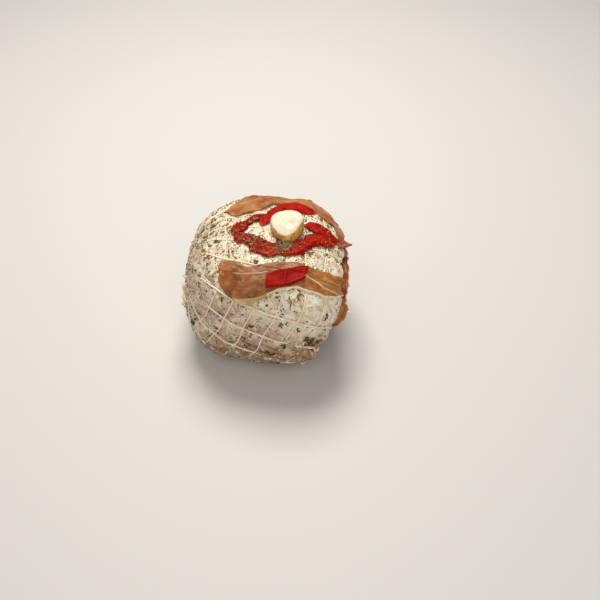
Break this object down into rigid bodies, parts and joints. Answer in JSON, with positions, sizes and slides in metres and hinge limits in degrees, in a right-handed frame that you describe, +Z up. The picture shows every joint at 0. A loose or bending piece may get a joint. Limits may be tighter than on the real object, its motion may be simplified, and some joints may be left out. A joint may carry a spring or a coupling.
{
  "type": "stuffed veal roast",
  "caption": "Rolled and netted raw veal roast, stuffed with ham and meat, topped with ham slices, roasted pepper strips and a cheese knob, ready for the oven.",
  "frame": {"origin": "centre of the bounding box, on the underside", "axes": "+X towards the open end, -Y towards the front, +Z up"},
  "size_m": [0.1388, 0.1455, 0.1155],
  "materials": {
    "veal": "moist pale veal and fat with pink patches and dried herbs",
    "cured_ham": "thin moist cured ham, orange brown with darker streaks and pale fat",
    "raw_meat": "moist red brown raw meat with pale marbling",
    "roasted_pepper": "wet glossy roasted red pepper",
    "cheese": "ivory cheese with a golden rind on its side",
    "string": "cream elastic cotton string",
    "dried_herb": "dried olive green and brown herb flakes, pressed into the surface"
  },
  "bodies": {
    "root": {"veal_wrap": "veal", "ham_lining": "cured_ham", "meat_filling": "raw_meat", "netting": "string", "ham_slice_front": "cured_ham", "ham_slice_back": "cured_ham", "ham_tip": "cured_ham", "pepper_patch": "roasted_pepper", "pepper_strip_top": "roasted_pepper", "pepper_strip_left": "roasted_pepper", "pepper_strip_front_left": "roasted_pepper", "pepper_strip_front_right": "roasted_pepper", "pepper_strip_right": "roasted_pepper", "cheese_knob": "cheese"}
  },
  "joints": []
}
